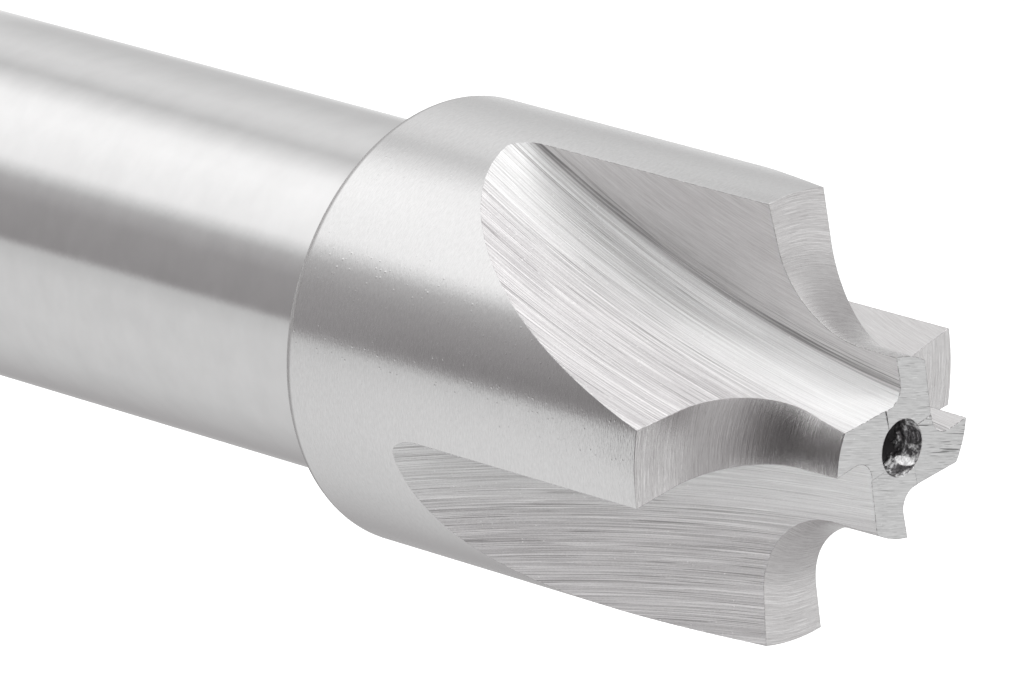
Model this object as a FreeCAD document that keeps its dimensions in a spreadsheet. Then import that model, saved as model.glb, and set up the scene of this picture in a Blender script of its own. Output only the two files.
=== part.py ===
import FreeCAD, Part
import math
import os
import Sketcher

# Corner rounding end mill, ground from one bar of tool steel.
# It stands on the flat end of its shank: the origin is the middle of that end, and +Z runs along
# the axis to the cutting end. Lengths are in millimetres and angles in degrees.

# Each size: its name, its value, and what it measures
SIZES = [
    ("overall_length", 76.2, "shank end to cutting end"),
    ("shank_diameter", 12.7, "plain ground shank"),
    ("shank_chamfer", 0.8, "45 degree chamfer round the shank end"),
    ("head_diameter", 15.875, "head, across the lands"),
    ("head_length", 21.4, "rear face of the head to the cutting end"),
    ("head_rounding", 0.45, "radius round the rear edge of the head"),
    ("form_radius", 3.175, "concave radius that rounds over the corner of the work"),
    ("nose_diameter", 6.5, "across the cutting edges at the cutting end"),
    ("nose_straight", 1.55, "cutting end to the centre of the concave radius, along the axis"),
    ("nose_taper", 1.0, "widening of the nose towards the head, each side"),
    ("shoulder_taper", 4.0, "fall of the shoulder towards the land"),
    ("relief_offset", 0.5, "distance off centre of the axis that the tooth relief is turned about"),
    ("flute_count", 4, "flutes, and teeth between them"),
    ("rake_offset", 0.42, "cutting faces stand this far behind the axis, for a positive rake"),
    ("core_distance", 1.56, "axis to the bottom of a flute at the cutting end"),
    ("wheel_radius", 38.1, "grinding wheel that sinks the flutes"),
    ("wheel_lead", 5.2, "centre of the wheel beyond the cutting end"),
    ("wheel_width", 9.5, "width of the wheel, which clears the whole back of a tooth"),
    ("wheel_taper", 3.9, "slope that the wheel gives the back of a tooth"),
    ("flute_fillet", 0.7, "fillet between the bottom of a flute and the cutting face"),
    ("end_relief", 1.6, "slope of a tooth's end behind its cutting edge"),
    ("end_relief_start", 0.45, "beside the axis, where the end relief of a tooth begins"),
    ("hole_diameter", 2.0, "centre hole in the cutting end"),
    ("hole_depth", 5.0, "centre hole, down to its drill point"),
    ("hole_point", 118.0, "included angle of the drill point"),
]

doc = FreeCAD.newDocument("CornerRoundingEndMill")
sheet = doc.addObject("Spreadsheet::Sheet", "Sizes")
for row, (alias, value, meaning) in enumerate(SIZES, start=1):
    sheet.set("A%d" % row, meaning)
    sheet.set("B%d" % row, str(value))
    sheet.setAlias("B%d" % row, alias)
doc.recompute()

end_mill = doc.addObject("PartDesign::Body", "EndMill")
end_mill.Label = "end_mill"

START = 1
END = 2
CENTRE = 3


def origin_feature(role):
    """One of the body's own origin planes or axes."""
    return [feature for feature in end_mill.Origin.OriginFeatures if feature.Role == role][0]


def number(formula):
    """The plain number, in millimetres or degrees, that a formula on the size sheet gives."""
    result = end_mill.evalExpression(formula)
    return float(getattr(result, "Value", result))


class Outline:
    """A sketch on an origin plane of the body, whose dimensions follow the size sheet."""

    def __init__(self, name, plane, offset=None):
        self.sketch = end_mill.newObject("Sketcher::SketchObject", name)
        self.sketch.AttachmentSupport = [(origin_feature(plane), "")]
        self.sketch.MapMode = "FlatFace"
        if offset:
            self.sketch.setExpression("AttachmentOffset.Base.z", offset)

    def line(self, start, end):
        segment = Part.LineSegment(FreeCAD.Vector(*start, 0), FreeCAD.Vector(*end, 0))
        return self.sketch.addGeometry(segment, False)

    def arc(self, centre, radius, first_angle, last_angle):
        circle = Part.Circle(FreeCAD.Vector(*centre, 0), FreeCAD.Vector(0, 0, 1), radius)
        piece = Part.ArcOfCircle(circle, math.radians(first_angle), math.radians(last_angle))
        return self.sketch.addGeometry(piece, False)

    def corner_point(self, place, *lines):
        """A construction point where the lines, made longer, would meet."""
        point = self.sketch.addGeometry(Part.Point(FreeCAD.Vector(*place, 0)), True)
        for index in lines:
            self.hold("PointOnObject", point, START, index)
        return point

    def polygon(self, corners):
        """Straight lines from corner to corner; those drawn level or upright are held so."""
        lines = []
        for start, end in zip(corners, corners[1:] + corners[:1]):
            lines.append(self.line(start, end))
            if start[1] == end[1]:
                self.hold("Horizontal", lines[-1])
            if start[0] == end[0]:
                self.hold("Vertical", lines[-1])
        for here, following in zip(lines, lines[1:] + lines[:1]):
            self.hold("Coincident", here, END, following, START)
        return lines

    def hold(self, kind, *places):
        self.sketch.addConstraint(Sketcher.Constraint(kind, *places))

    def drive(self, name, formula, kind, *places):
        """A dimension of the given kind that follows a formula on the size sheet."""
        value = number(formula)
        if kind == "Angle":
            value = math.radians(value)
        index = self.sketch.addConstraint(Sketcher.Constraint(kind, *places, value))
        self.sketch.renameConstraint(index, name)
        self.sketch.setExpression("Constraints." + name, formula)

    def place(self, name, geometry, end, across=None, along=None):
        """Holds a point of the outline at formulas from the sketch's own origin."""
        if across:
            self.drive(name + "_across", across, "DistanceX", -1, START, geometry, end)
        if along:
            self.drive(name + "_along", along, "DistanceY", -1, START, geometry, end)


def turned(kind, name, outline, axis, **angles):
    """A Revolution or a Groove of an outline about a line of its sketch."""
    feature = end_mill.newObject("PartDesign::" + kind, name)
    feature.Profile = outline.sketch
    feature.ReferenceAxis = (outline.sketch, [axis])
    for angle_name, angle in angles.items():
        feature.setExpression(angle_name, angle)
    return feature


def circular_edge(shape, height, radius):
    """Name of the round edge that lies at a height and has a radius."""
    for index, edge in enumerate(shape.Edges, start=1):
        if isinstance(edge.Curve, Part.Circle):
            same_height = math.isclose(edge.Curve.Center.z, height, abs_tol=1e-6)
            if same_height and math.isclose(edge.Curve.Radius, radius, abs_tol=1e-6):
                return "Edge%d" % index
    raise ValueError("no round edge at height %g with radius %g" % (height, radius))


# Blank: shank and head turned in one
shank_radius = number("Sizes.shank_diameter / 2")
head_radius = number("Sizes.head_diameter / 2")
length = number("Sizes.overall_length")
head_start = number("Sizes.overall_length - Sizes.head_length")

blank_outline = Outline("BlankOutline", "XZ_Plane")
bottom, _, _, head_side, _, middle = blank_outline.polygon([
    (0, 0), (shank_radius, 0), (shank_radius, head_start),
    (head_radius, head_start), (head_radius, length), (0, length),
])
blank_outline.hold("Coincident", bottom, START, -1, START)
blank_outline.place("shank_radius", bottom, END, across="Sizes.shank_diameter / 2")
blank_outline.place("head", head_side, START, across="Sizes.head_diameter / 2",
                    along="Sizes.overall_length - Sizes.head_length")
blank_outline.place("front", middle, START, along="Sizes.overall_length")
blank = turned("Revolution", "Blank", blank_outline, "V_Axis")
doc.recompute()

shank_end = end_mill.newObject("PartDesign::Chamfer", "ShankEnd")
shank_end.Base = (blank, [circular_edge(blank.Shape, 0, shank_radius)])
shank_end.setExpression("Size", "Sizes.shank_chamfer")
doc.recompute()

head_edge = end_mill.newObject("PartDesign::Fillet", "HeadEdge")
head_edge.Base = (shank_end, [circular_edge(shank_end.Shape, head_start, head_radius)])
head_edge.setExpression("Radius", "Sizes.head_rounding")
doc.recompute()

# Form relief of one tooth: nose, concave radius and shoulder, turned about an axis off centre,
# so that each tooth falls away behind its cutting edge and keeps its profile when reground.
# The tooth points along +X here, and its cutting face looks towards +Y. The turn takes in the
# whole tooth, runs out into the flutes before and behind it, and stops short of its neighbours.
TURN_BEFORE = "140 / Sizes.flute_count"
TURN_BEHIND = "240 / Sizes.flute_count"
NOSE_REACH = (
    "sqrt((Sizes.nose_diameter / 2)^2 + Sizes.relief_offset^2"
    " + 2 * Sizes.rake_offset * Sizes.relief_offset)"
)
radius = number("Sizes.form_radius")
nose_tilt = math.radians(number("Sizes.nose_taper"))
shoulder_tilt = math.radians(number("Sizes.shoulder_taper"))
nose = (number(NOSE_REACH), length)
centre_height = number("Sizes.overall_length - Sizes.nose_straight")
run = nose[1] - centre_height
centre = (nose[0] + run * math.tan(nose_tilt) + radius / math.cos(nose_tilt), centre_height)
arc_start = (centre[0] - radius * math.cos(nose_tilt), centre[1] - radius * math.sin(nose_tilt))
arc_end = (centre[0] - radius * math.sin(shoulder_tilt), centre[1] - radius * math.cos(shoulder_tilt))
outside = number("Sizes.head_diameter / 2 + Sizes.form_radius")
above = number("Sizes.overall_length + Sizes.form_radius")
nose_top = (nose[0] - (above - length) * math.tan(nose_tilt), above)
shoulder_foot = (outside, arc_end[1] - (outside - arc_end[0]) * math.tan(shoulder_tilt))

relief_outline = Outline("ReliefOutline", "XZ_Plane", "-Sizes.relief_offset")
nose_line = relief_outline.line(nose_top, arc_start)
form = relief_outline.arc(centre, radius, 180 + number("Sizes.nose_taper"),
                          270 - number("Sizes.shoulder_taper"))
shoulder = relief_outline.line(arc_end, shoulder_foot)
outer_side = relief_outline.line(shoulder_foot, (outside, above))
top_side = relief_outline.line((outside, above), nose_top)
relief_outline.hold("Tangent", nose_line, END, form, START)
relief_outline.hold("Tangent", form, END, shoulder, START)
relief_outline.hold("Coincident", shoulder, END, outer_side, START)
relief_outline.hold("Coincident", outer_side, END, top_side, START)
relief_outline.hold("Coincident", top_side, END, nose_line, START)
relief_outline.hold("Vertical", outer_side)
relief_outline.hold("Horizontal", top_side)
nose_point = relief_outline.corner_point(nose, nose_line)
relief_outline.drive("form_radius", "Sizes.form_radius", "Radius", form)
relief_outline.drive("nose_taper", "Sizes.nose_taper - 90", "Angle", nose_line)
relief_outline.drive("shoulder_taper", "-Sizes.shoulder_taper", "Angle", shoulder)
relief_outline.place("nose", nose_point, START, across=NOSE_REACH, along="Sizes.overall_length")
relief_outline.place("form", form, CENTRE, along="Sizes.overall_length - Sizes.nose_straight")
relief_outline.place("outside", outer_side, END,
                     across="Sizes.head_diameter / 2 + Sizes.form_radius",
                     along="Sizes.overall_length + Sizes.form_radius")
tooth_form = turned("Groove", "ToothForm", relief_outline, "V_Axis")
tooth_form.Type = "TwoAngles"
tooth_form.setExpression("Angle", TURN_BEFORE)
tooth_form.setExpression("Angle2", TURN_BEHIND)
doc.recompute()

# One flute, sunk by the rim of a grinding wheel whose flat side leaves the cutting face.
# The wheel is drawn in the level plane through its own centre, and turned about its own axis.
RIM_REACH = (
    "Sizes.core_distance + sqrt(Sizes.wheel_radius^2 - Sizes.wheel_lead^2) - Sizes.wheel_radius"
)
rim = number(RIM_REACH)
fillet = number("Sizes.flute_fillet")
wheel_tilt = math.radians(number("Sizes.wheel_taper"))
wheel_axis = rim + number("Sizes.wheel_radius")
near_side = number("-Sizes.rake_offset")
far_side = number("Sizes.wheel_width - Sizes.rake_offset")
fillet_centre = (
    rim + fillet * (math.tan(wheel_tilt) + 1 / math.cos(wheel_tilt)), near_side + fillet
)
rim_start = (
    fillet_centre[0] - fillet * math.cos(wheel_tilt), fillet_centre[1] + fillet * math.sin(wheel_tilt)
)
far_rim = rim + (far_side - near_side) * math.tan(wheel_tilt)

wheel_outline = Outline("WheelOutline", "XY_Plane", "Sizes.overall_length + Sizes.wheel_lead")
flat_side = wheel_outline.line((wheel_axis, near_side), (fillet_centre[0], near_side))
round_corner = wheel_outline.arc(fillet_centre, fillet, 180 - number("Sizes.wheel_taper"), 270)
rim_line = wheel_outline.line(rim_start, (far_rim, far_side))
other_side = wheel_outline.line((far_rim, far_side), (wheel_axis, far_side))
spindle = wheel_outline.line((wheel_axis, far_side), (wheel_axis, near_side))
wheel_outline.hold("Tangent", flat_side, END, round_corner, END)
wheel_outline.hold("Tangent", round_corner, START, rim_line, START)
wheel_outline.hold("Coincident", rim_line, END, other_side, START)
wheel_outline.hold("Coincident", other_side, END, spindle, START)
wheel_outline.hold("Coincident", spindle, END, flat_side, START)
wheel_outline.hold("Horizontal", flat_side)
wheel_outline.hold("Horizontal", other_side)
wheel_outline.hold("Vertical", spindle)
rim_corner = wheel_outline.corner_point((rim, near_side), flat_side, rim_line)
wheel_outline.drive("flute_fillet", "Sizes.flute_fillet", "Radius", round_corner)
wheel_outline.drive("wheel_taper", "90 - Sizes.wheel_taper", "Angle", rim_line)
wheel_outline.place("rim", rim_corner, START, across=RIM_REACH, along="-Sizes.rake_offset")
wheel_outline.place("spindle", spindle, START, across=RIM_REACH + " + Sizes.wheel_radius",
                    along="Sizes.wheel_width - Sizes.rake_offset")
flute = turned("Groove", "Flute", wheel_outline, "Edge5")
doc.recompute()

# End relief of one tooth: a thin wedge off the end face, deepest at the tooth's back
wedge_width = number("Sizes.nose_diameter")
wedge_depth = wedge_width * math.tan(math.radians(number("Sizes.end_relief")))
relief_wedge = Outline("EndReliefOutline", "YZ_Plane", "Sizes.end_relief_start")
front, top, _, slope = relief_wedge.polygon([
    (near_side, length), (near_side, above), (near_side - wedge_width, above),
    (near_side - wedge_width, length - wedge_depth),
])
relief_wedge.place("front", front, START, across="-Sizes.rake_offset", along="Sizes.overall_length")
relief_wedge.place("top", top, END, across="-Sizes.rake_offset - Sizes.nose_diameter",
                   along="Sizes.overall_length + Sizes.form_radius")
relief_wedge.drive("end_relief", "Sizes.end_relief", "Angle", slope)
tooth_end = end_mill.newObject("PartDesign::Pocket", "ToothEnd")
tooth_end.Profile = relief_wedge.sketch
tooth_end.Reversed = True
tooth_end.setExpression("Length", "Sizes.nose_diameter")
doc.recompute()

teeth = end_mill.newObject("PartDesign::PolarPattern", "Teeth")
teeth.Originals = [tooth_form, flute, tooth_end]
teeth.Axis = (origin_feature("Z_Axis"), [""])
teeth.Angle = 360
teeth.setExpression("Occurrences", "Sizes.flute_count")
end_mill.Tip = teeth
doc.recompute()

# Centre hole in the cutting end, drilled before grinding
hole_outline = Outline("HoleOutline", "XY_Plane", "Sizes.overall_length")
hole_circle = Part.Circle(
    FreeCAD.Vector(0, 0, 0), FreeCAD.Vector(0, 0, 1), number("Sizes.hole_diameter / 2")
)
ring = hole_outline.sketch.addGeometry(hole_circle, False)
hole_outline.hold("Coincident", ring, CENTRE, -1, START)
hole_outline.drive("ring", "Sizes.hole_diameter", "Diameter", ring)
centre_hole = end_mill.newObject("PartDesign::Hole", "CentreHole")
centre_hole.Profile = hole_outline.sketch
centre_hole.DepthType = "Dimension"
centre_hole.DrillPoint = "Angled"
centre_hole.setExpression("Diameter", "Sizes.hole_diameter")
centre_hole.setExpression("Depth", "Sizes.hole_depth")
centre_hole.setExpression("DrillPointAngle", "Sizes.hole_point")
doc.recompute()

faulty = [thing.Name for thing in doc.Objects if "Invalid" in thing.State or "Error" in thing.State]
shape = end_mill.Shape
if faulty or shape.isNull() or not shape.isValid() or len(shape.Solids) != 1:
    raise ValueError("the end mill did not build: %s" % faulty)
cuts = [head_edge, tooth_form, flute, tooth_end, teeth, centre_hole]
for before, after in zip(cuts, cuts[1:]):
    if not after.Shape.Volume < before.Shape.Volume:
        raise ValueError("%s cut nothing" % after.Name)

os.makedirs("parts", exist_ok=True)
shape.exportStep("parts/%s.step" % end_mill.Label)
print("end_mill: volume %.1f cubic millimetres, %d faces" % (shape.Volume, len(shape.Faces)))
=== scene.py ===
import math

import bpy
from mathutils import Matrix, Vector


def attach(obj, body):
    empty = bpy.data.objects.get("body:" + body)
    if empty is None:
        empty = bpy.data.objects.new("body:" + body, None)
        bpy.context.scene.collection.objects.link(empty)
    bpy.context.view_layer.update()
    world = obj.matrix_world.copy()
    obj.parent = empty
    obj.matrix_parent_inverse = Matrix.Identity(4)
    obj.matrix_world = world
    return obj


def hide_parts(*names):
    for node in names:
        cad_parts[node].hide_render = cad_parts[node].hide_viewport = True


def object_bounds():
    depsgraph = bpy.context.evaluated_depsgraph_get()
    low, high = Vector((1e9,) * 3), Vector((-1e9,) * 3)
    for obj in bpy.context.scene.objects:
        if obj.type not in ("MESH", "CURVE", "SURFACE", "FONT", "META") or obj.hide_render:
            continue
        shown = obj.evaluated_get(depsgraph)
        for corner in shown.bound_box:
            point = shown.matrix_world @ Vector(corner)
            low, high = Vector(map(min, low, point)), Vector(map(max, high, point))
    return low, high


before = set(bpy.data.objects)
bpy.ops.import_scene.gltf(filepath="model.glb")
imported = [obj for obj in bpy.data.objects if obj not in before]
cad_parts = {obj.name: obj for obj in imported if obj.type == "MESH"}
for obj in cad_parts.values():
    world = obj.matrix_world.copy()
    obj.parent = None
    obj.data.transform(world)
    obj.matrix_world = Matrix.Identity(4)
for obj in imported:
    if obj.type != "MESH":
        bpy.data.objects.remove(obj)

cad_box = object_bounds()
scene = bpy.context.scene


# Blank: the whole tool is one bar of tool steel. A lathe turns it to a plain shank with a chamfered
# end and a head whose rear edge is rounded, and then both are ground round.
MM = 0.001
top = cad_box[1].z
head_radius = cad_box[1].x
head_length = 21.4 * MM
head_rounding = 0.45 * MM
head_foot = top - head_length
shank_radius = 6.35 * MM
shank_chamfer = 0.8 * MM


def drawn_outline(name, corners, closed=True):
    """A flat outline with its corners as (across, along, rounding). A corner's rounding is kept as
    the radius of its point."""
    curve = bpy.data.curves.new(name, "CURVE")
    curve.dimensions = "3D"
    spline = curve.splines.new("POLY")
    spline.points.add(len(corners) - 1)
    for point, (across, along, rounding) in zip(spline.points, corners):
        point.co = (across, along, 0, 1)
        point.radius = rounding
    spline.use_cyclic_u = closed
    outline = bpy.data.objects.new(name, curve)
    scene.collection.objects.link(outline)
    return outline


blank_outline = drawn_outline("blank_outline", [
    (0, 0, 0),
    (shank_radius - shank_chamfer, 0, 0),
    (shank_radius, shank_chamfer, 0),
    (shank_radius, head_foot, 0),
    (head_radius, head_foot, head_rounding),
    (head_radius, top, 0),
    (0, top, 0),
], closed=False)


def node_tree(name, sizes, results, kind="ShaderNodeTree"):
    """A node tree with named inputs, as (name, kind of socket, value), and named results."""
    tree = bpy.data.node_groups.new(name, kind)
    for label, socket_kind, value in sizes:
        socket = tree.interface.new_socket(label, in_out="INPUT", socket_type="NodeSocket" + socket_kind)
        if value is not None:
            socket.default_value = value
    for label, socket_kind in results:
        tree.interface.new_socket(label, in_out="OUTPUT", socket_type="NodeSocket" + socket_kind)
    return tree, tree.nodes.new("NodeGroupInput").outputs, tree.nodes.new("NodeGroupOutput").inputs


def feed(tree, node, feeds):
    """Links or sets a node's inputs, by name or by number."""
    for name, value in feeds.items():
        if isinstance(value, bpy.types.NodeSocket):
            tree.links.new(value, node.inputs[name])
        else:
            node.inputs[name].default_value = value


def add_node(tree, kind, feeds=None, **settings):
    """A node with its settings made and its inputs fed."""
    made = tree.nodes.new(kind)
    for name, value in settings.items():
        setattr(made, name, value)
    feed(tree, made, feeds or {})
    return made


# Turning: sweeps an outline about the Z axis, all the way round or through a part of a turn.
turning, given, result = node_tree("Turning", [
    ("Outline", "Object", None),
    ("Whole turn", "Bool", False),
    ("Start", "Float", 0.0),
    ("Sweep", "Float", 1.0),
    ("Steps", "Int", 64),
    ("Corner steps", "Int", 8),
    ("Rail", "Float", 1 * MM),
    ("Weld", "Float", 0.0001 * MM),
], [("Geometry", "Geometry")], "GeometryNodeTree")
drawn = add_node(turning, "GeometryNodeObjectInfo", {"Object": given["Outline"]})
rounded = add_node(turning, "GeometryNodeFilletCurve", {
    "Curve": drawn.outputs["Geometry"],
    "Count": given["Corner steps"],
    "Radius": add_node(turning, "GeometryNodeInputRadius").outputs[0],
}, mode="POLY")
inward = add_node(turning, "ShaderNodeMath", {0: given["Rail"], 1: -1.0}, operation="MULTIPLY")
placed = add_node(turning, "GeometryNodeTransform", {
    "Geometry": rounded.outputs[0],
    "Translation": add_node(turning, "ShaderNodeCombineXYZ", {"X": inward.outputs[0]}).outputs[0],
    "Rotation": (math.pi, 0, 0),
})
circle = add_node(turning, "GeometryNodeCurvePrimitiveCircle", {
    "Resolution": given["Steps"],
    "Radius": given["Rail"],
})
arc = add_node(turning, "GeometryNodeCurveArc", {
    "Resolution": given["Steps"],
    "Radius": given["Rail"],
    "Start Angle": given["Start"],
    "Sweep Angle": given["Sweep"],
})
rail = add_node(turning, "GeometryNodeSwitch", {
    "Switch": given["Whole turn"],
    "False": arc.outputs["Curve"],
    "True": circle.outputs["Curve"],
}, input_type="GEOMETRY")
swept = add_node(turning, "GeometryNodeCurveToMesh", {
    "Curve": rail.outputs[0],
    "Profile Curve": placed.outputs[0],
    "Fill Caps": True,
})
welded = add_node(turning, "GeometryNodeMergeByDistance", {
    "Geometry": swept.outputs[0],
    "Distance": given["Weld"],
})
outward = add_node(turning, "GeometryNodeFlipFaces", {"Mesh": welded.outputs[0]})
feed(turning, result[0].node, {0: outward.outputs[0]})


def worked(tree, operation, *values):
    """The result of one Math node."""
    return add_node(tree, "ShaderNodeMath", dict(enumerate(values)), operation=operation).outputs[0]


def vector_worked(tree, operation, *vectors):
    """The results of one Vector Math node."""
    return add_node(tree, "ShaderNodeVectorMath", dict(enumerate(vectors)), operation=operation).outputs


def spread(tree, value, low, high, to_low=0.0, to_high=1.0):
    """The value moved from one range to another, and held inside it."""
    return add_node(tree, "ShaderNodeMapRange", {
        "Value": value, "From Min": low, "From Max": high, "To Min": to_low, "To Max": to_high,
    }).outputs[0]


def shade(tree, amount, dark, light):
    """A colour between two others, each a colour or a socket, by an amount from 0 to 1."""
    ends = [
        colour if isinstance(colour, bpy.types.NodeSocket) else (*colour, 1) for colour in (dark, light)
    ]
    return add_node(tree, "ShaderNodeMix", {0: amount, 6: ends[0], 7: ends[1]}, data_type="RGBA").outputs[2]


def raised(tree, height, depth, normal):
    """A normal that follows a height, so deep in metres."""
    return add_node(tree, "ShaderNodeBump", {
        "Height": height, "Distance": depth, "Normal": normal, "Strength": 1.0,
    }).outputs[0]


def on_tool(tree):
    """The place of a point on the tool, in Object coordinates."""
    return add_node(tree, "ShaderNodeTexCoord").outputs["Object"]


def parts_of(tree, vector):
    """The X, Y and Z of a vector."""
    return add_node(tree, "ShaderNodeSeparateXYZ", {0: vector}).outputs


def noise(tree, place, detail, roughness, scale=1.0):
    return add_node(tree, "ShaderNodeTexNoise", {
        "Vector": place, "Scale": scale, "Detail": detail, "Roughness": roughness,
    }).outputs[0]


def round_marks(tree, length, spacing, detail):
    """Marks that run round the tool's axis."""
    drawn_out = vector_worked(tree, "MULTIPLY", on_tool(tree), (1 / length, 1 / length, 1 / spacing))[0]
    return noise(tree, drawn_out, detail, 0.6)


# Worn edge and painted light: rounds the shading of every sharp edge a little, and paints bright
# spots along it as painted glints of burrs and dark spots as painted shade of nicks.
worn_edge_and_painted_light, given, result = node_tree(
    "worn_edge_and_painted_light", [("Width", "Float", 0.03 * MM)],
    [("Painted glints", "Float"), ("Painted nick shade", "Float"), ("Normal", "Vector")])
rounded_normal = add_node(worn_edge_and_painted_light, "ShaderNodeBevel", {"Radius": given["Width"]}, samples=6).outputs[0]
flat_normal = add_node(worn_edge_and_painted_light, "ShaderNodeNewGeometry").outputs["Normal"]
agreement = vector_worked(worn_edge_and_painted_light, "DOT_PRODUCT", rounded_normal, flat_normal)["Value"]
at_edge = spread(worn_edge_and_painted_light, agreement, 0.985, 0.9)
bits = noise(worn_edge_and_painted_light, on_tool(worn_edge_and_painted_light), 2.0, 0.7, scale=7000.0)
feed(worn_edge_and_painted_light, result[0].node, {
    # Painted glints: white spots along the edges. Painted nick shade: dark spots along them.
    "Painted glints": worked(worn_edge_and_painted_light, "MULTIPLY", at_edge, spread(worn_edge_and_painted_light, bits, 0.60, 0.66)),
    "Painted nick shade": worked(worn_edge_and_painted_light, "MULTIPLY", at_edge, spread(worn_edge_and_painted_light, bits, 0.54, 0.48)),
    "Normal": rounded_normal,
})


def new_finish(name, roughness, metallic=1.0, edge_width=0.045 * MM):
    """A bare steel finish, with its tree, its shader and what it knows of its worn edges and their painted
    light.
    """
    finish = bpy.data.materials.new(name)
    finish.use_nodes = True
    tree = finish.node_tree
    shader = tree.nodes["Principled BSDF"]
    feed(tree, shader, {"Metallic": metallic, "Roughness": roughness})
    edge = add_node(tree, "ShaderNodeGroup", {"Width": edge_width}, node_tree=worn_edge_and_painted_light).outputs
    return finish, tree, shader, edge


# Shank: ground round and nearly bright.
shank_finish, tree, shader, edge = new_finish("ground_shank", 0.11)
marks = round_marks(tree, 0.22 * MM, 0.07 * MM, 1.0)
clouds = round_marks(tree, 1.6 * MM, 1.1 * MM, 2.0)
feed(tree, shader, {
    "Base Color": shade(tree, spread(tree, clouds, 0.3, 0.7), (0.695, 0.69, 0.69), (0.73, 0.725, 0.725)),
    "Roughness": spread(tree, clouds, 0.3, 0.7, 0.10, 0.13),
    "Normal": raised(tree, marks, 0.0012 * MM, edge["Normal"]),
})

# Shank end: only turned, so it has wider rings.
shank_end_finish, tree, shader, edge = new_finish("turned_shank_end", 0.25)
outward_only = vector_worked(tree, "MULTIPLY", on_tool(tree), (1, 1, 0))[0]
from_middle = vector_worked(tree, "LENGTH", outward_only)["Value"]
ring_place = add_node(tree, "ShaderNodeCombineXYZ", {"X": from_middle}).outputs[0]
rings = noise(tree, ring_place, 2.0, 0.5, scale=9000.0)
feed(tree, shader, {
    "Base Color": shade(tree, spread(tree, rings, 0.3, 0.7), (0.62, 0.62, 0.62), (0.72, 0.72, 0.72)),
    "Normal": raised(tree, rings, 0.004 * MM, edge["Normal"]),
})

# Head: ground like the shank, with a coarser grain and small pits. Its rounded rear edge was only
# turned, so it is duller, and its colour is darker there as painted shade, for a thin dark line at
# the step.
head_finish, tree, shader, edge = new_finish("ground_head", 0.12)
marks = round_marks(tree, 0.20 * MM, 0.045 * MM, 2.0)
clouds = round_marks(tree, 1.2 * MM, 0.8 * MM, 2.0)
place = on_tool(tree)
pit_cells = add_node(tree, "ShaderNodeTexVoronoi", {"Vector": place, "Scale": 5200.0}).outputs
pit_choice = parts_of(tree, pit_cells["Color"])["X"]
pits = worked(tree, "MULTIPLY", spread(tree, pit_cells["Distance"], 0.26, 0.06),
              spread(tree, pit_choice, 0.5, 1.1))
# The rounded rear edge: rougher, and darker in colour as painted shade.
turned_and_shaded_edge = spread(tree, parts_of(tree, place)["Z"],
                     head_foot + head_rounding, head_foot + 0.75 * head_rounding)
ground_colour = shade(tree, spread(tree, marks, 0.3, 0.7), (0.675, 0.67, 0.67), (0.75, 0.745, 0.745))
ground_roughness = spread(tree, clouds, 0.3, 0.7, 0.11, 0.16)
grain = raised(tree, marks, 0.0037 * MM, edge["Normal"])
feed(tree, shader, {
    "Base Color": shade(tree, turned_and_shaded_edge, ground_colour, (0.42, 0.41, 0.41)),
    "Roughness": worked(tree, "ADD", ground_roughness, worked(tree, "MULTIPLY", turned_and_shaded_edge, 0.3)),
    "Normal": raised(tree, pits, 0.005 * MM, grain),
})


# Flutes: a straight wheel sinks four of them into the head, with its centre beyond the cutting end.
# Its flat side leaves the cutting faces, just behind the middle, and its rim the backs of the teeth.
rake_offset = 0.42 * MM
core_distance = 1.56 * MM
flute_fillet = 0.7 * MM
wheel_radius = 38.1 * MM
wheel_lead = 5.2 * MM
wheel_width = 9.5 * MM
wheel_taper = math.radians(3.9)
wheel_rim = 13 * MM
flute_bottom = wheel_radius - flute_fillet
spindle = Vector((core_distance + math.sqrt(wheel_radius**2 - wheel_lead**2), 0, top + wheel_lead))
wheel_outline = drawn_outline("wheel_outline", [
    (wheel_radius - wheel_rim, -rake_offset, 0),
    (wheel_radius, -rake_offset, flute_fillet),
    (wheel_radius - wheel_width * math.tan(wheel_taper), wheel_width - rake_offset, 0),
    (wheel_radius - wheel_rim, wheel_width - rake_offset, 0),
])

# One tooth: turns any point back to where it would lie on the first tooth or in the first flute.
one_tooth, given, result = node_tree("one_tooth", [("Behind", "Float", 0.0)], [("Place", "Vector")])
quarter = math.pi / 2
place = on_tool(one_tooth)
point = parts_of(one_tooth, place)
bearing = worked(one_tooth, "ARCTAN2", point["Y"], point["X"])
turns = worked(one_tooth, "FLOOR", worked(
    one_tooth, "DIVIDE", worked(one_tooth, "ADD", bearing, given["Behind"]), quarter))
turned_back = add_node(one_tooth, "ShaderNodeVectorRotate", {
    "Vector": place, "Angle": worked(one_tooth, "MULTIPLY", turns, -quarter),
}, rotation_type="Z_AXIS")
feed(one_tooth, result[0].node, {0: turned_back.outputs[0]})


def distance_and_angle(tree, along, across):
    """How far a point lies from a centre, and its angle about it."""
    squares = [worked(tree, "MULTIPLY", side, side) for side in (along, across)]
    distance = worked(tree, "SQRT", worked(tree, "ADD", *squares))
    return distance, worked(tree, "ARCTAN2", across, along)


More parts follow.
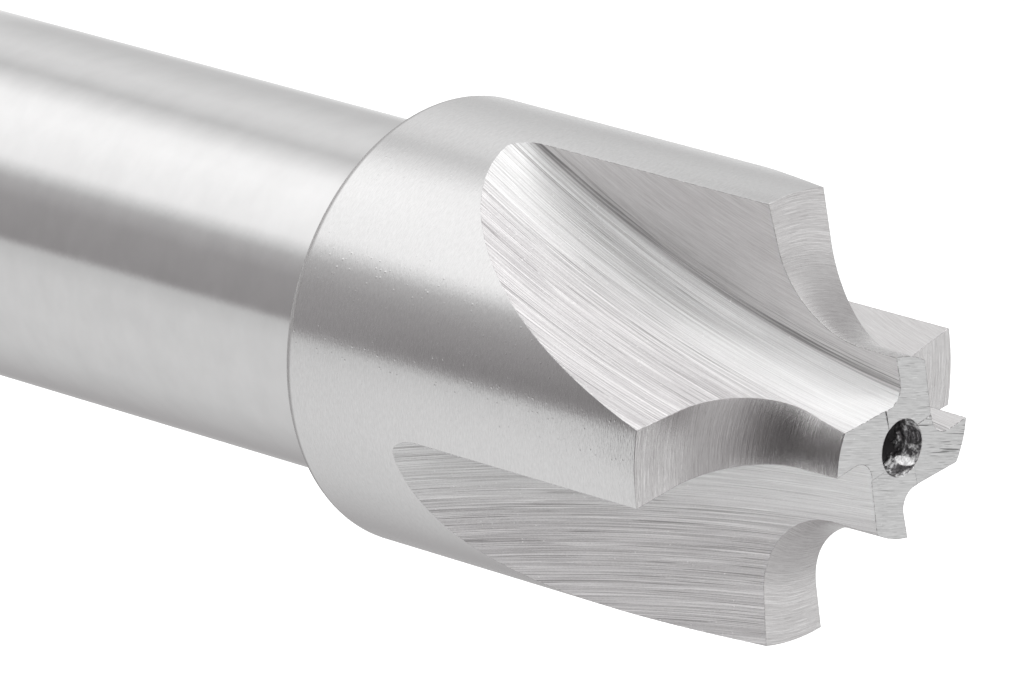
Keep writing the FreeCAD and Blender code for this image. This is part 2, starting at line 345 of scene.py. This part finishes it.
# Wheel path: along the rim of the flute wheel, out from its spindle, and across its width.
wheel_path, given, result = node_tree(
    "wheel_path", [("Behind", "Float", math.radians(20))], [("Place", "Vector")])
local = add_node(wheel_path, "ShaderNodeGroup", {"Behind": given[0]}, node_tree=one_tooth).outputs[0]
point = parts_of(wheel_path, local)
from_spindle, rim_angle = distance_and_angle(
    wheel_path, worked(wheel_path, "SUBTRACT", spindle.x, point["X"]),
    worked(wheel_path, "SUBTRACT", point["Z"], spindle.z))
wheel_place = add_node(wheel_path, "ShaderNodeCombineXYZ", {
    "X": worked(wheel_path, "MULTIPLY", rim_angle, wheel_radius), "Y": from_spindle, "Z": point["Y"],
})
feed(wheel_path, result[0].node, {0: wheel_place.outputs[0]})


def stretched_noise(tree, place, length, spacing, detail):
    """Noise drawn out along X, with its mean at a half."""
    across = worked(tree, "DIVIDE", 1.0, spacing)
    scale = add_node(tree, "ShaderNodeCombineXYZ", {
        "X": worked(tree, "DIVIDE", 1.0, length), "Y": across, "Z": across,
    }).outputs[0]
    return noise(tree, vector_worked(tree, "MULTIPLY", place, scale)[0], detail, 0.7)


# Scored lines: what the grains of a wheel leave along the X of the place that they are given, with
# rare deep scratches, rare bright lines between the others that are painted glints, and specks
# where a grain tore the steel, whose lighter tone is a painted glint.
scored_lines, given, result = node_tree("scored_lines", [
    ("Place", "Vector", None),
    ("Length", "Float", 2 * MM),
    ("Spacing", "Float", 0.08 * MM),
    ("Scratched", "Float", 0.5),
], [("Tone", "Float"), ("Height", "Float"), ("Specks", "Float")])


def times(value, factor):
    return worked(scored_lines, "MULTIPLY", value, factor)


def lines(lengthwise, sidewise, detail, along="Length"):
    """Lines so many times as long and as far apart as the group is told."""
    return stretched_noise(scored_lines, given["Place"], times(given[along], lengthwise),
                           times(given["Spacing"], sidewise), detail)


def summed(*weighted):
    """The sum of values, each with its weight."""
    first, *others = [times(value, weight) for value, weight in weighted]
    for other in others:
        first = worked(scored_lines, "ADD", first, other)
    return first


fine = spread(scored_lines, lines(1.0, 1.0, 3.0), 0.37, 0.63)
broad = spread(scored_lines, lines(1.5, 3.5, 2.0), 0.3, 0.7)
grain = spread(scored_lines, lines(2.0, 0.8, 2.0, along="Spacing"), 0.3, 0.7)
rare = lines(0.5, 0.9, 0.0)
scratches = times(spread(scored_lines, rare, 0.70, 0.77), given["Scratched"])
# Painted glints: rare bright lines added to the tone.
painted_gleams = times(spread(scored_lines, rare, 0.29, 0.22), given["Scratched"])
torn_cells = add_node(scored_lines, "ShaderNodeTexVoronoi", {
    "Vector": given["Place"], "Scale": 5200.0,
}).outputs
torn_choice = parts_of(scored_lines, torn_cells["Color"])["X"]
specks = times(times(spread(scored_lines, torn_cells["Distance"], 0.22, 0.10),
                     spread(scored_lines, torn_choice, 0.76, 1.0)), given["Scratched"])
feed(scored_lines, result[0].node, {
    "Tone": summed((fine, 0.58), (broad, 0.20), (grain, 0.22), (painted_gleams, 0.9), (scratches, -1.2),
                   (specks, 0.6)),
    "Height": summed((fine, 0.6), (broad, 0.4), (grain, 0.25), (scratches, -0.8)),
    "Specks": specks,
})


def edged(tree, colour, edge):
    """The colour with painted nick shade and painted glints of burrs along the edges."""
    with_painted_edges = shade(tree, edge["Painted nick shade"], colour, (0.14, 0.135, 0.135))
    return shade(tree, edge["Painted glints"], with_painted_edges, (1.0, 1.0, 1.0))


def ground_finish(name, path, length, spacing, scratched, dark, light, smooth, rough, depth, metallic,
                  painted_bottom_light=0.0, torn_painted_shading=0.0, with_painted_edges=True):
    """A finish scored along the path of the wheel that ground it. In a flute, the wall beside the
    bottom may get painted light, brightest near the nose and darker towards the run-out, with a
    painted shade line in the corner, and the cutting face may get painted shade in torn streaks near
    the bottom."""
    finish, tree, shader, edge = new_finish(name, rough, metallic)
    place = add_node(tree, "ShaderNodeGroup", node_tree=path).outputs[0]
    marks = add_node(tree, "ShaderNodeGroup", {
        "Place": place, "Length": length, "Spacing": spacing, "Scratched": scratched,
    }, node_tree=scored_lines).outputs
    colour = shade(tree, marks["Tone"], dark, light)
    parts = parts_of(tree, place)
    # Painted light: the wall beside the flute bottom is lightened, most near the nose and least towards the
    # run-out.
    if painted_bottom_light:
        painted_light_beside_bottom = worked(tree, "MULTIPLY", spread(tree, parts["Z"], -0.36 * MM, -0.28 * MM),
                               spread(tree, parts["Z"], 3.2 * MM, 1.2 * MM, 0.0, painted_bottom_light))
        towards_nose = spread(tree, parts["X"], -18 * MM, -7 * MM)
        painted_light_dark_end = shade(tree, towards_nose, (0.48, 0.47, 0.47), (0.80, 0.795, 0.795))
        painted_light_colour = shade(tree, marks["Tone"], painted_light_dark_end, (1.0, 1.0, 1.0))
        colour = shade(tree, painted_light_beside_bottom, colour, painted_light_colour)
        # Painted shade: a dark line in the corner at the flute bottom, broken along its length.
        corner = worked(tree, "MULTIPLY", spread(tree, parts["Z"], -0.33 * MM, -0.38 * MM, 0.0, 0.8),
                        spread(tree, stretched_noise(tree, place, 6 * MM, 0.1 * MM, 2.0), 0.38, 0.55))
        colour = shade(tree, corner, colour, (0.2, 0.195, 0.195))
    # Painted shade: the cutting face is darkened near the flute bottom, in torn streaks.
    if torn_painted_shading:
        near_bottom = spread(tree, parts["Y"], flute_bottom - 0.6 * MM, flute_bottom - 0.05 * MM, 0.0, torn_painted_shading)
        shade_streaks = spread(tree, stretched_noise(tree, place, 5 * MM, 0.04 * MM, 2.0), 0.53, 0.62)
        colour = shade(tree, worked(tree, "MULTIPLY", near_bottom, shade_streaks), colour, (0.2, 0.195, 0.195))
    scored = raised(tree, marks["Height"], depth, edge["Normal"])
    feed(tree, shader, {
        "Base Color": edged(tree, colour, edge) if with_painted_edges else colour,
        "Roughness": spread(tree, marks["Tone"], 0.2, 0.8, rough, smooth),
        "Normal": raised(tree, marks["Specks"], 0.010 * MM, scored),
    })
    return finish


back_finish = ground_finish(
    "ground_tooth_back", wheel_path, length=8 * MM, spacing=0.035 * MM, scratched=0.7,
    dark=(0.36, 0.345, 0.35), light=(0.95, 0.93, 0.935), smooth=0.32, rough=0.46, depth=0.011 * MM,
    metallic=0.3, painted_bottom_light=1.0)
face_finish = ground_finish(
    "ground_cutting_face", wheel_path, length=1.6 * MM, spacing=0.045 * MM, scratched=0.25,
    dark=(0.62, 0.605, 0.605), light=(0.80, 0.79, 0.79), smooth=0.34, rough=0.44, depth=0.005 * MM,
    metallic=0.8, torn_painted_shading=0.7)


# Form: each tooth's nose, concave quarter round and shoulder are ground together. They are turned
# about an axis off the tool's own, so that they fall away behind the cutting edge.
form_radius = 3.175 * MM
nose_radius = 3.25 * MM
nose_straight = 1.55 * MM
nose_taper = math.radians(1.0)
shoulder_taper = math.radians(4.0)
relief_offset = 0.5 * MM
outside = head_radius + form_radius
above = top + form_radius
nose_reach = math.hypot(math.sqrt(nose_radius**2 - rake_offset**2), rake_offset + relief_offset)
nose_slope = math.tan(nose_taper)
shoulder_slope = math.tan(shoulder_taper)
form_centre = Vector((
    nose_reach + nose_straight * nose_slope + form_radius / math.cos(nose_taper),
    top - nose_straight,
))
shoulder_at_axis = form_centre.y - form_radius / math.cos(shoulder_taper) + form_centre.x * shoulder_slope
corner_along = (
    (shoulder_at_axis - (nose_reach + top * nose_slope) * shoulder_slope)
    / (1 - nose_slope * shoulder_slope)
)
corner_across = nose_reach + (top - corner_along) * nose_slope
form_outline = drawn_outline("form_outline", [
    (nose_reach - form_radius * nose_slope, above, 0),
    (corner_across, corner_along, form_radius),
    (outside, shoulder_at_axis - outside * shoulder_slope, 0),
    (outside, above, 0),
])

# Relief path: round the axis that the form is relieved about.
relief_path, given, result = node_tree(
    "relief_path", [("Behind", "Float", math.radians(60))], [("Place", "Vector")])
local = add_node(relief_path, "ShaderNodeGroup", {"Behind": given[0]}, node_tree=one_tooth).outputs[0]
point = parts_of(relief_path, local)
from_axis, relief_angle = distance_and_angle(
    relief_path, point["X"], worked(relief_path, "SUBTRACT", point["Y"], relief_offset))
relief_place = add_node(relief_path, "ShaderNodeCombineXYZ", {
    "X": worked(relief_path, "MULTIPLY", relief_angle, head_radius), "Y": from_axis, "Z": point["Z"],
})
feed(relief_path, result[0].node, {0: relief_place.outputs[0]})
form_finish = ground_finish(
    "ground_form", relief_path, length=1.6 * MM, spacing=0.035 * MM, scratched=0.3,
    dark=(0.55, 0.535, 0.535), light=(0.82, 0.81, 0.81), smooth=0.16, rough=0.25, depth=0.005 * MM,
    metallic=1.0, with_painted_edges=False)


# Tooth ends: ground flat, with straight lines that run the same way over all four. Behind each
# cutting edge a thin wedge is ground off, and one tooth is scratched more than the others.
end_relief = math.radians(1.6)
end_relief_start = 0.45 * MM
wedge_width = 2 * nose_radius
wedge_outline = drawn_outline("wedge_outline", [
    (rake_offset, top, 0),
    (rake_offset, above, 0),
    (rake_offset + wedge_width, above, 0),
    (rake_offset + wedge_width, top - wedge_width * math.tan(end_relief), 0),
])
end_lines_bearing = math.radians(154)
tooth_end_finish, tree, shader, edge = new_finish("ground_tooth_end", 0.3)
place = on_tool(tree)
turned = add_node(tree, "ShaderNodeVectorRotate", {
    "Vector": place, "Angle": -end_lines_bearing,
}, rotation_type="Z_AXIS").outputs[0]
marks = add_node(tree, "ShaderNodeGroup", {
    "Place": turned, "Length": 1.2 * MM, "Spacing": 0.03 * MM, "Scratched": 0.9,
}, node_tree=scored_lines).outputs
parts = parts_of(tree, place)
aside = worked(tree, "MULTIPLY", worked(tree, "ABSOLUTE", parts["Y"]), 0.5)
worn_tooth = spread(tree, worked(tree, "ADD", parts["X"], aside), -0.7 * MM, -1.4 * MM)
scratch = spread(tree, worked(
    tree, "ADD", stretched_noise(tree, turned, 1.5 * MM, 0.05 * MM, 1.0),
    worked(tree, "MULTIPLY", worn_tooth, 0.06)), 0.66, 0.72)
patches = spread(tree, stretched_noise(tree, turned, 1.5 * MM, 1.5 * MM, 1.0), 0.45, 0.60)
scratched = worked(tree, "MULTIPLY", scratch, worked(tree, "MAXIMUM", worn_tooth, patches))
ground_colour = shade(tree, marks["Tone"], (0.48, 0.48, 0.48), (0.70, 0.70, 0.70))
scratched_colour = shade(tree, scratched, ground_colour, (0.2, 0.2, 0.2))
feed(tree, shader, {
    "Base Color": edged(tree, scratched_colour, edge),
    "Normal": raised(tree, marks["Height"], 0.002 * MM, edge["Normal"]),
})


# Centre hole: the drilled centre that the tool was ground on. It is smooth inside, with a dark colour
# that is painted shade; round its mouth torn specks are painted white as painted light, and one spot
# on the wall glows white with emission as a painted glint.
hole_radius = 1.0 * MM
hole_depth = 5.0 * MM
hole_point = math.radians(118)
drill_outline = drawn_outline("drill_outline", [
    (0, top - hole_depth - hole_radius / math.tan(hole_point / 2), 0),
    (hole_radius, top - hole_depth, 0),
    (hole_radius, above, 0),
    (0, above, 0),
], closed=False)
hole_finish, tree, shader, edge = new_finish("drilled_hole", 0.3)
place = on_tool(tree)
lumps = noise(tree, place, 3.0, 0.6, scale=2600.0)
uneven_height = worked(tree, "ADD", parts_of(tree, place)["Z"], worked(tree, "MULTIPLY", lumps, 1.2 * MM))
at_mouth = spread(tree, uneven_height, top - 0.65 * MM, top - 0.35 * MM)
# Painted glint: a spot on the wall near the mouth that is white and glows.
glint_spot = Vector((-0.515 * MM, 0.857 * MM, top - 0.5 * MM))
from_glint_spot = vector_worked(tree, "MULTIPLY", vector_worked(tree, "SUBTRACT", place, glint_spot)[0], (1, 1, 0.4))[0]
glint_spot_distance = worked(tree, "ADD", vector_worked(tree, "LENGTH", from_glint_spot)["Value"],
                       worked(tree, "MULTIPLY", lumps, 0.12 * MM))
on_glint_spot = spread(tree, glint_spot_distance, 0.25 * MM, 0.21 * MM)
# Torn specks round the mouth and the glint spot, painted white as painted light.
torn_painted_shading = worked(tree, "MAXIMUM", on_glint_spot, worked(
    tree, "MULTIPLY", at_mouth, spread(tree, lumps, 0.50, 0.60)))
feed(tree, shader, {
    "Base Color": shade(tree, torn_painted_shading, (0.30, 0.29, 0.30), (1.0, 1.0, 1.0)),
    "Metallic": spread(tree, torn_painted_shading, 0.0, 1.0, 0.7, 0.1),
    "Emission Color": shade(tree, on_glint_spot, (0.0, 0.0, 0.0), (0.35, 0.35, 0.35)),
    "Emission Strength": 1.0,
    "Normal": raised(tree, worked(tree, "MULTIPLY", lumps, at_mouth), 0.25 * MM, edge["Normal"]),
})


# Grinding: the tree turns the blank and takes the form, the flutes, the wedges and the hole off it.
# Each surface carries the finish and the true normals of the tool that left it.
grinding, given, result = node_tree("Grinding", [
    ("Blank outline", "Object", None),
    ("Form outline", "Object", None),
    ("Wheel outline", "Object", None),
    ("Wedge outline", "Object", None),
    ("Drill outline", "Object", None),
    ("Teeth", "Int", 4),
    ("Relief axis", "Vector", (0, 0, 0)),
    ("Spindle", "Vector", (0, 0, 0)),
    ("Wedge start", "Vector", (0, 0, 0)),
    ("Wedge end", "Vector", (0, 0, 0)),
], [("Geometry", "Geometry")], "GeometryNodeTree")
sharp = math.radians(20)
position = parts_of(grinding, add_node(grinding, "GeometryNodeInputPosition").outputs[0])
facing = parts_of(grinding, add_node(grinding, "GeometryNodeInputNormal").outputs["True Normal"])


def turned_solid(outline, whole_turn=False, start=0.0, sweep=0.0, steps=96, corner_steps=12):
    """A solid that the Turning tree makes of an outline."""
    return add_node(grinding, "GeometryNodeGroup", {
        "Outline": given[outline], "Whole turn": whole_turn, "Start": start, "Sweep": sweep,
        "Steps": steps, "Corner steps": corner_steps,
    }, node_tree=turning).outputs[0]


def compared(value, operation, limit):
    return add_node(grinding, "FunctionNodeCompare", {0: value, 1: limit},
                    data_type="FLOAT", operation=operation).outputs[0]


def finished(solid, finish, selection=True):
    """The solid with a finish on the faces of the selection."""
    return add_node(grinding, "GeometryNodeSetMaterial", {
        "Geometry": solid, "Selection": selection, "Material": finish,
    }).outputs[0]


def with_normals(solid):
    """The solid with its smooth normals kept at the corners of its faces."""
    smooth = add_node(grinding, "GeometryNodeSetShadeSmooth", {
        0: solid, "Shade Smooth": True,
    }, domain="FACE").outputs[0]
    edge_angle = add_node(grinding, "GeometryNodeInputMeshEdgeAngle").outputs[0]
    split = add_node(grinding, "GeometryNodeSetShadeSmooth", {
        0: smooth, "Shade Smooth": compared(edge_angle, "LESS_THAN", sharp),
    }, domain="EDGE").outputs[0]
    return add_node(grinding, "GeometryNodeStoreNamedAttribute", {
        "Geometry": split,
        "Name": "true_normal",
        "Value": add_node(grinding, "GeometryNodeInputNormal").outputs["Normal"],
    }, data_type="FLOAT_VECTOR", domain="CORNER").outputs[0]


teeth_places = add_node(grinding, "GeometryNodePoints", {"Count": given["Teeth"]}).outputs[0]
tooth_number = add_node(grinding, "GeometryNodeInputIndex").outputs[0]
tooth_angle = worked(grinding, "MULTIPLY", tooth_number,
                     worked(grinding, "DIVIDE", 2 * math.pi, given["Teeth"]))
tooth_turn = add_node(grinding, "ShaderNodeCombineXYZ", {"Z": tooth_angle}).outputs[0]


def round_the_axis(solid):
    """One tooth's cutter repeated for every tooth."""
    copies = add_node(grinding, "GeometryNodeInstanceOnPoints", {
        "Points": teeth_places, "Instance": solid, "Rotation": tooth_turn,
    }).outputs[0]
    return add_node(grinding, "GeometryNodeRealizeInstances", {0: copies}).outputs[0]


blank = finished(turned_solid("Blank outline", whole_turn=True, steps=512), shank_finish)
blank = finished(blank, head_finish, compared(position["Z"], "GREATER_THAN", head_foot - 0.01 * MM))
blank = finished(blank, tooth_end_finish, compared(facing["Z"], "GREATER_THAN", 0.9))

form = turned_solid("Form outline", start=math.radians(-56), sweep=math.radians(88),
                    steps=120, corner_steps=64)
form = add_node(grinding, "GeometryNodeTransform", {
    "Geometry": finished(form, form_finish), "Translation": given["Relief axis"],
}).outputs[0]

wheel = turned_solid("Wheel outline", start=math.radians(142), sweep=math.radians(34), steps=170)
wheel = finished(wheel, back_finish)
wheel = finished(wheel, face_finish, compared(facing["Z"], "LESS_THAN", -0.99))
wheel = add_node(grinding, "GeometryNodeTransform", {
    "Geometry": wheel, "Translation": given["Spindle"], "Rotation": (-math.pi / 2, 0, 0),
}).outputs[0]

wedge_rail = add_node(grinding, "GeometryNodeCurvePrimitiveLine", {
    "Start": given["Wedge start"], "End": given["Wedge end"],
}).outputs[0]
wedge_drawn = add_node(grinding, "GeometryNodeObjectInfo", {"Object": given["Wedge outline"]})
wedge_upright = add_node(grinding, "GeometryNodeTransform", {
    "Geometry": wedge_drawn.outputs["Geometry"], "Rotation": (math.pi, 0, 0),
}).outputs[0]
wedge = add_node(grinding, "GeometryNodeCurveToMesh", {
    "Curve": wedge_rail, "Profile Curve": wedge_upright, "Fill Caps": True,
}).outputs[0]
wedge = finished(wedge, tooth_end_finish)

drill = finished(turned_solid("Drill outline", whole_turn=True), hole_finish)

cut = add_node(grinding, "GeometryNodeMeshBoolean", {"Mesh 1": with_normals(blank)},
               operation="DIFFERENCE", solver="MANIFOLD")
for cutter in (round_the_axis(form), round_the_axis(wheel), round_the_axis(wedge), drill):
    feed(grinding, cut, {"Mesh 2": with_normals(cutter)})
realised = add_node(grinding, "GeometryNodeRealizeInstances", {0: cut.outputs["Mesh"]}).outputs[0]
ground = finished(realised, shank_end_finish, compared(position["Z"], "LESS_THAN", shank_chamfer))
feed(grinding, result[0].node, {0: ground})

end_mill = bpy.data.objects.new("ground_end_mill", bpy.data.meshes.new("ground_end_mill"))
scene.collection.objects.link(end_mill)
grinding_modifier = end_mill.modifiers.new("Grinding", "NODES")
grinding_modifier.node_group = grinding
inputs = {
    "Blank outline": blank_outline,
    "Form outline": form_outline,
    "Wheel outline": wheel_outline,
    "Wedge outline": wedge_outline,
    "Drill outline": drill_outline,
    "Teeth": 4,
    "Relief axis": (0, relief_offset, 0),
    "Spindle": spindle,
    "Wedge start": (end_relief_start, 0, 0),
    "Wedge end": (end_relief_start + wedge_width, 0, 0),
}
for item in grinding.interface.items_tree:
    if item.in_out == "INPUT":
        grinding_modifier[item.identifier] = inputs[item.name]

# The tree's result becomes a plain mesh, with each face corner keeping the normal that its tool left.
bpy.context.view_layer.update()
evaluated = end_mill.evaluated_get(bpy.context.evaluated_depsgraph_get())
ground_mesh = bpy.data.meshes.new_from_object(evaluated)
end_mill.modifiers.remove(grinding_modifier)
end_mill.data = ground_mesh
for outline in (blank_outline, form_outline, wheel_outline, wedge_outline, drill_outline):
    bpy.data.objects.remove(outline)
corner_normals = []
left_by_tool = ground_mesh.attributes["true_normal"].data
for face in ground_mesh.polygons:
    face.use_smooth = True
    for corner in face.loop_indices:
        normal = Vector(left_by_tool[corner].vector)
        if normal.dot(face.normal) < 0:
            normal.negate()
        corner_normals.append(normal.normalized())
ground_mesh.attributes.remove(ground_mesh.attributes["true_normal"])
ground_mesh.normals_split_custom_set(corner_normals)
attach(end_mill, "root")
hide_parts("end_mill")


# Floor: a pale sheet of paper under the tool. The camera sees it a little lighter than it is lit, so
# that it is white, and it keeps the tool's shadow.
floor_half_width = 4.0
floor_corners = [
    (x * floor_half_width, y * floor_half_width, 0) for x, y in ((-1, -1), (1, -1), (1, 1), (-1, 1))
]
floor_mesh = bpy.data.meshes.new("floor")
floor_mesh.from_pydata(floor_corners, [], [(0, 1, 2, 3)])
floor = bpy.data.objects.new("floor", floor_mesh)
scene.collection.objects.link(floor)
paper = bpy.data.materials.new("pale_paper")
paper.use_nodes = True
paper_lift = 0.32
tree = paper.node_tree
seen = add_node(tree, "ShaderNodeLightPath").outputs["Is Camera Ray"]
feed(tree, tree.nodes["Principled BSDF"], {
    "Base Color": (0.85, 0.85, 0.85, 1),
    "Roughness": 0.9,
    "Specular IOR Level": 0.1,
    "Emission Color": (1, 1, 1, 1),
    "Emission Strength": worked(tree, "MULTIPLY", seen, paper_lift),
})
floor_mesh.materials.append(paper)


# Light tent: white cloth stands round the tool, and shows only in the steel. At each height it is
# given by how bright it is at bearings in degrees, and it changes evenly between them.
tent_rings = [(28 * MM, 0.0), (45 * MM, 22 * MM), (45 * MM, 150 * MM)]
tent_steps = 180
roof_level = 0.5
near_foot = [
    (-180, 0.66), (-167, 0.68), (-138, 0.91), (-127, 0.87), (-118, 0.72), (-109, 0.95), (-98, 1.24),
    (-86, 1.29), (-64, 1.18), (-58, 1.15), (-47, 0.56), (-35, 0.41), (-12, 0.36), (-8, 0.70), (4, 0.79),
    (32, 0.81), (61, 0.74), (84, 0.59), (96, 0.50), (108, 0.45), (124, 0.50), (152, 0.87), (160, 0.89),
    (180, 0.66),
]
cloth = [
    (0.0, [(-180, 1.0), (180, 1.0)]),
    (5 * MM, near_foot),
    (20 * MM, near_foot),
    (25 * MM, [
        (-180, 0.63), (-173, 0.63), (-166, 0.70), (-149, 0.81), (-138, 0.91), (-126, 0.96), (-115, 0.79),
        (-109, 0.88), (-98, 1.19), (-70, 1.21), (-56, 1.21), (-52, 1.04), (-46, 0.58), (-35, 0.41),
        (-18, 0.29), (-12, 0.33), (-8, 0.76), (4, 0.84), (16, 0.88), (32, 0.865), (61, 0.77), (84, 0.63),
        (96, 0.51), (108, 0.44), (124, 0.50), (152, 0.80), (160, 0.86), (180, 0.66),
    ]),
    (40.5 * MM, [
        (-180, 0.63), (-166, 0.70), (-151, 0.76), (-148, 0.60), (-143, 0.60), (-138, 0.91), (-126, 0.96),
        (-115, 0.79), (-109, 0.88), (-98, 1.19), (-56, 1.21), (-52, 1.04), (-46, 0.58), (-35, 0.41),
        (-18, 0.29), (-12, 0.33), (-8, 0.76), (4, 0.84), (32, 0.865), (61, 0.77), (84, 0.63), (108, 0.44),
        (124, 0.50), (160, 0.86), (180, 0.66),
    ]),
    (44.5 * MM, [
        (-180, 0.63), (-151, 0.60), (-143, 0.60), (-138, 0.95), (-100, 1.10), (-64, 1.20), (-60, 0.13),
        (3, 0.13), (9, 0.70), (61, 0.70), (95, 0.60), (160, 0.80), (180, 0.66),
    ]),
    (50 * MM, [
        (-180, 0.60), (-150, 0.55), (-142, 1.25), (-68, 1.30), (-63, 1.00), (-58, 0.12), (-40, 0.10),
        (3, 0.12), (9, 0.70), (61, 0.72), (95, 0.50), (124, 0.50), (160, 0.64), (180, 0.60),
    ]),
    (66 * MM, [
        (-180, 0.55), (-148, 0.50), (-142, 1.25), (-68, 1.30), (-63, 1.00), (-58, 0.12), (-40, 0.10),
        (3, 0.12), (9, 0.68), (61, 0.70), (95, 0.50), (124, 0.50), (160, 0.58), (180, 0.52),
    ]),
    (73 * MM, [
        (-180, 0.50), (-148, 0.48), (-142, 1.25), (-66, 1.20), (-59, 0.11), (3, 0.12),
        (9, 0.68), (61, 0.70), (95, 0.55), (124, 0.54), (160, 0.60), (180, 0.50),
    ]),
    (100 * MM, [
        (-180, 0.66), (-64, 0.80), (-58, 0.22), (3, 0.26), (10, 0.65), (92, 0.62), (115, 0.60), (128, 0.90),
        (150, 0.92), (180, 0.66),
    ]),
    (130 * MM, [
        (-180, 0.60), (-64, 0.60), (-58, 0.40), (60, 0.50), (112, 0.55), (126, 1.10), (154, 1.10),
        (166, 0.60), (180, 0.60),
    ]),
]
tent_points = []
for radius, height in tent_rings:
    for step in range(tent_steps):
        bearing = 2 * math.pi * step / tent_steps
        tent_points.append((radius * math.cos(bearing), radius * math.sin(bearing), height))
tent_faces = []
for ring_start in range(0, len(tent_points) - tent_steps, tent_steps):
    for step in range(tent_steps):
        here = ring_start + step
        there = ring_start + (step + 1) % tent_steps
        tent_faces.append((here, here + tent_steps, there + tent_steps, there))
roof = tuple(range(len(tent_points) - tent_steps, len(tent_points)))
tent_mesh = bpy.data.meshes.new("light_tent")
tent_mesh.from_pydata(tent_points, [], tent_faces + [roof])
tent = bpy.data.objects.new("light_tent", tent_mesh)
scene.collection.objects.link(tent)
tent.visible_camera = False
tent.visible_diffuse = False
tent.visible_shadow = False

lit_cloth = bpy.data.materials.new("lit_cloth")
lit_cloth.use_nodes = True
lit_cloth.cycles.emission_sampling = "NONE"
tree = lit_cloth.node_tree
tree.nodes.remove(tree.nodes["Principled BSDF"])
place = parts_of(tree, on_tool(tree))
bearing_share = spread(tree, worked(tree, "ARCTAN2", place["Y"], place["X"]), -math.pi, math.pi)
full_scale = 2
brightness = None
height_below = None
for height, stretches in cloth:
    ramp = add_node(tree, "ShaderNodeValToRGB", {0: bearing_share})
    stops = ramp.color_ramp.elements
    while len(stops) < len(stretches):
        stops.new(0.5)
    for stop, (bearing, level) in zip(stops, stretches):
        stop.position = (bearing + 180) / 360
    for stop, (bearing, level) in zip(stops, stretches):
        stop.color = (level / full_scale, level / full_scale, level / full_scale, 1)
    if brightness is None:
        brightness = ramp.outputs[0]
    else:
        brightness = add_node(tree, "ShaderNodeMix", {
            0: spread(tree, place["Z"], height_below, height), 2: brightness, 3: ramp.outputs[0],
        }, data_type="FLOAT").outputs[0]
    height_below = height
brightness = add_node(tree, "ShaderNodeMix", {
    0: spread(tree, place["Z"], height_below, tent_rings[-1][1]), 2: brightness, 3: roof_level / full_scale,
}, data_type="FLOAT").outputs[0]
glow = add_node(tree, "ShaderNodeEmission", {
    "Color": shade(tree, spread(tree, brightness, 0.1, 0.35), (1.0, 0.955, 0.965), (1.0, 1.0, 1.0)),
    "Strength": worked(tree, "MULTIPLY", brightness, full_scale),
})
feed(tree, tree.nodes["Material Output"], {"Surface": glow.outputs[0]})
tent_mesh.materials.append(lit_cloth)


# Room: it is white, also where it shows in the steel, and lights the tool evenly. One large softbox
# above gives the shadow.
room_light = 0.75
world = bpy.data.worlds.new("white_room")
scene.world = world
world.use_nodes = True
tree = world.node_tree
path = add_node(tree, "ShaderNodeLightPath").outputs
shown = worked(tree, "MAXIMUM", path["Is Camera Ray"], worked(
    tree, "MAXIMUM", path["Is Glossy Ray"], path["Is Transmission Ray"]))
feed(tree, tree.nodes["Background"], {
    "Color": (1, 1, 1, 1),
    "Strength": spread(tree, shown, 0.0, 1.0, room_light, 1.0),
})

softbox = bpy.data.objects.new("softbox", bpy.data.lights.new("softbox", "AREA"))
scene.collection.objects.link(softbox)
softbox.data.shape = "SQUARE"
softbox.data.size = 0.35
softbox.data.energy = 3.5
softbox.location = (-0.25, -0.35, 0.6)
lit_point = Vector((0, 0, 0.05))
softbox.rotation_euler = (lit_point - softbox.location).to_track_quat("-Z", "Y").to_euler()


# Camera: it stands where the photograph was taken from, about a third of a metre off with a long
# lens, and is turned as it was.
camera = bpy.data.objects.new("camera", bpy.data.cameras.new("camera"))
scene.collection.objects.link(camera)
scene.camera = camera
camera.data.sensor_width = 36
camera.data.lens = 376.45
camera.data.clip_start = 0.01
camera.data.clip_end = 10
to_right = Vector((-0.672697, 0.157672, 0.722924))
downward = Vector((0.427774, 0.880074, 0.206106))
forward = Vector((-0.603729, 0.447895, -0.659471))
camera.matrix_world = (
    Matrix.Translation((0.223641, -0.165486, 0.302348))
    @ Matrix((to_right, -downward, -forward)).transposed().to_4x4()
)

scene.view_settings.view_transform = "Standard"
